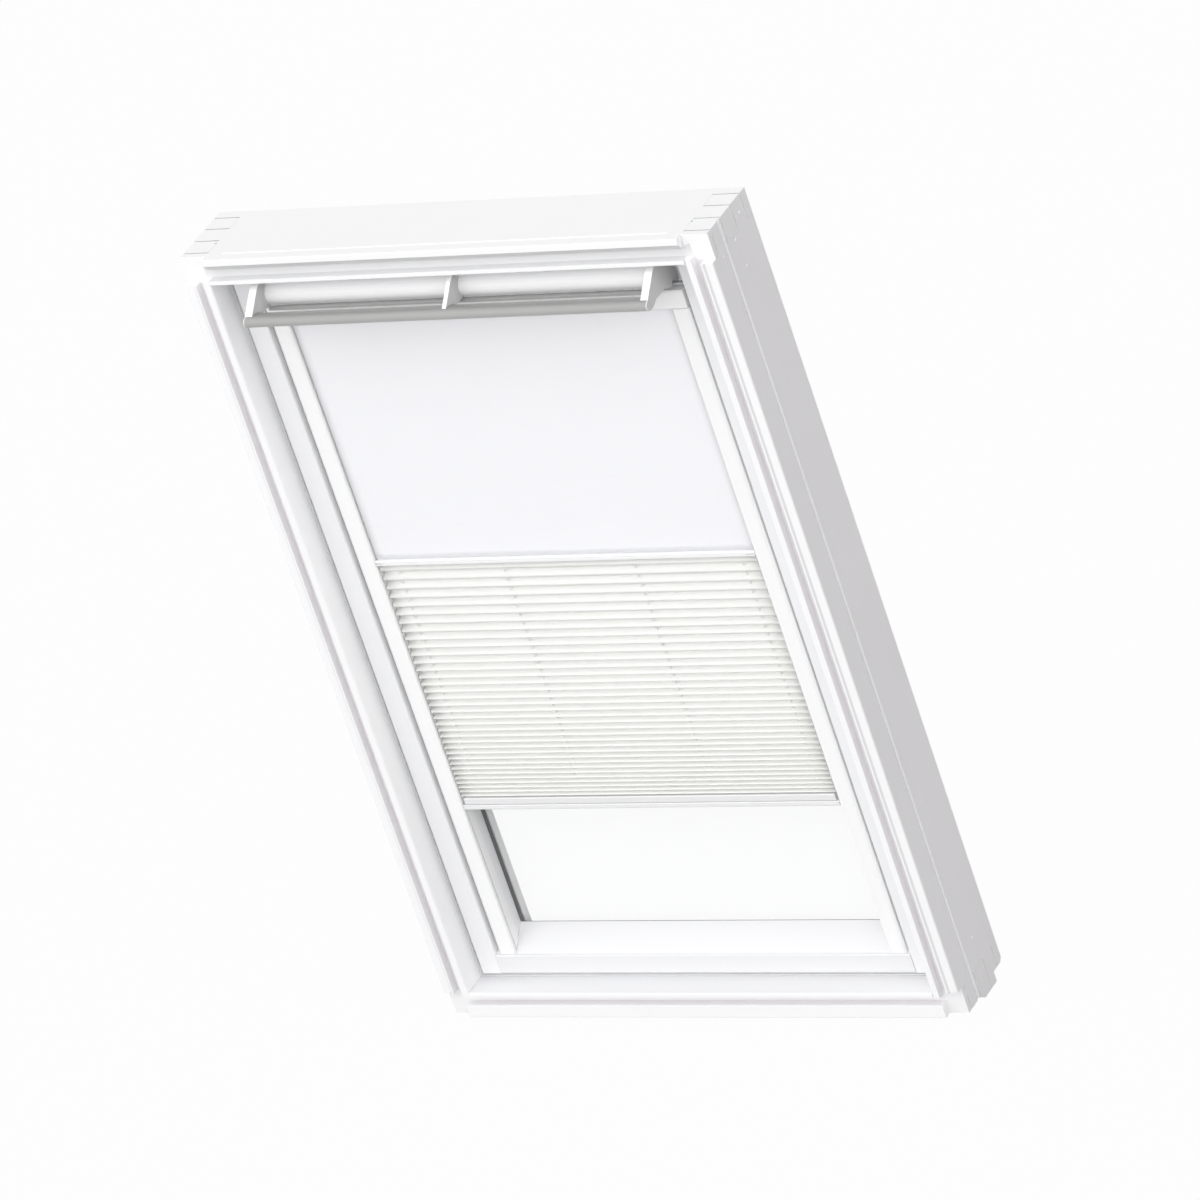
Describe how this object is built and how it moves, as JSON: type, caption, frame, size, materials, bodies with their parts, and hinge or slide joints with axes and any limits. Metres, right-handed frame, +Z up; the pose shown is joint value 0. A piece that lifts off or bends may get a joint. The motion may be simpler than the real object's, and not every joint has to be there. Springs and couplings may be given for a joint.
{
  "type": "roof window with blind",
  "caption": "Centre-pivot roof window with a white timber frame and sash, a top vent flap with its control bar, and a fitted blind of blackout and pleated cloth.",
  "frame": {"origin": "middle of the sill's flat underside", "axes": "+X to the window's right seen from the room, +Y outward through the roof, +Z up the slope"},
  "size_m": [0.78, 0.1606, 1.187],
  "materials": {
    "painted_wood": "white paint, satin",
    "white_aluminium": "white powder coat, satin",
    "white_plastic": "moulded, satin",
    "pale_plastic": "moulded, fine matt",
    "grey_plastic": "moulded, matt",
    "satin_aluminium": "brushed and anodised",
    "steel": "zinc plated",
    "grey_rubber": "extruded, matt",
    "black_rubber": "extruded, matt",
    "outer_cover": "grey coat, matt",
    "clear_glass": "polished",
    "blackout_fabric": "smooth coated weave",
    "pleated_fabric": "pleated fine weave",
    "filter_foam": "open foam"
  },
  "bodies": {
    "frame": {"frame_head": "painted_wood", "frame_sill": "painted_wood", "frame_jamb_left": "painted_wood", "frame_jamb_right": "painted_wood", "pivot_plate_left": "steel", "pivot_plate_right": "steel", "frame_gasket": "grey_rubber", "striker_plate": "steel", "cover_head": "outer_cover", "cover_sill": "outer_cover", "cover_jamb_left": "outer_cover", "cover_jamb_right": "outer_cover"},
    "sash": {"sash_top_rail": "painted_wood", "sash_bottom_rail": "painted_wood", "sash_stile_left": "painted_wood", "sash_stile_right": "painted_wood", "pivot_arm_left": "steel", "pivot_arm_right": "steel", "inner_pane": "clear_glass", "outer_pane": "clear_glass", "pane_spacer": "grey_plastic", "glazing_gasket": "black_rubber", "latch_case": "steel", "vent_filter": "filter_foam", "sash_cover_top": "outer_cover", "sash_cover_bottom": "outer_cover", "sash_cover_left": "outer_cover", "sash_cover_right": "outer_cover", "blind_casing": "white_aluminium", "blind_end_cap_left": "white_plastic", "blind_end_cap_right": "white_plastic", "side_channel_left": "white_aluminium", "side_channel_right": "white_aluminium", "channel_stop_left": "grey_plastic", "channel_stop_right": "grey_plastic", "blackout_cloth": "blackout_fabric", "spring_motor": "steel", "roller_pin_left": "grey_plastic", "vent_pin_left": "steel", "vent_pin_right": "steel"},
    "roller": {"roller_tube": "satin_aluminium", "cloth_coil": "blackout_fabric", "roller_pin_right": "grey_plastic"},
    "middle_rail": {"middle_rail": "white_aluminium", "middle_glider_left": "grey_plastic", "middle_glider_right": "grey_plastic", "pleated_cloth": "pleated_fabric"},
    "bottom_rail": {"bottom_rail": "white_aluminium", "bottom_glider_left": "grey_plastic", "bottom_glider_right": "grey_plastic"},
    "vent_unit": {"vent_flap": "white_aluminium", "control_bar": "satin_aluminium", "trim_rail": "satin_aluminium", "bracket_centre": "pale_plastic", "bracket_left": "pale_plastic", "bracket_right": "pale_plastic"}
  },
  "joints": [
    {"name": "sash_pivot", "type": "hinge", "parent": "frame", "child": "sash", "pos_m": [0, -0.0045, 0.598], "axis": [1, 0, 0], "range_deg": [0, 160]},
    {"name": "vent_pull", "type": "hinge", "parent": "sash", "child": "vent_unit", "pos_m": [0, -0.0365, 1.101], "axis": [1, 0, 0], "range_deg": [0, 38]},
    {"name": "middle_slide", "type": "slide", "parent": "sash", "child": "middle_rail", "axis": [0, 0, 1], "range_m": [-0.1, 0.353], "deforming": ["blackout_cloth"]},
    {"name": "bottom_slide", "type": "slide", "parent": "middle_rail", "child": "bottom_rail", "axis": [0, 0, 1], "range_m": [-0.1, 0.31], "deforming": ["pleated_cloth"]},
    {"name": "roller_spin", "type": "hinge", "parent": "sash", "child": "roller", "pos_m": [0, -0.0215, 1.0761], "axis": [1, 0, 0], "range_deg": [-1920, 560]}
  ],
  "couplings": [
    {"joint": "roller_spin", "follows": "middle_slide", "rad_per_m": -93.458}
  ]
}
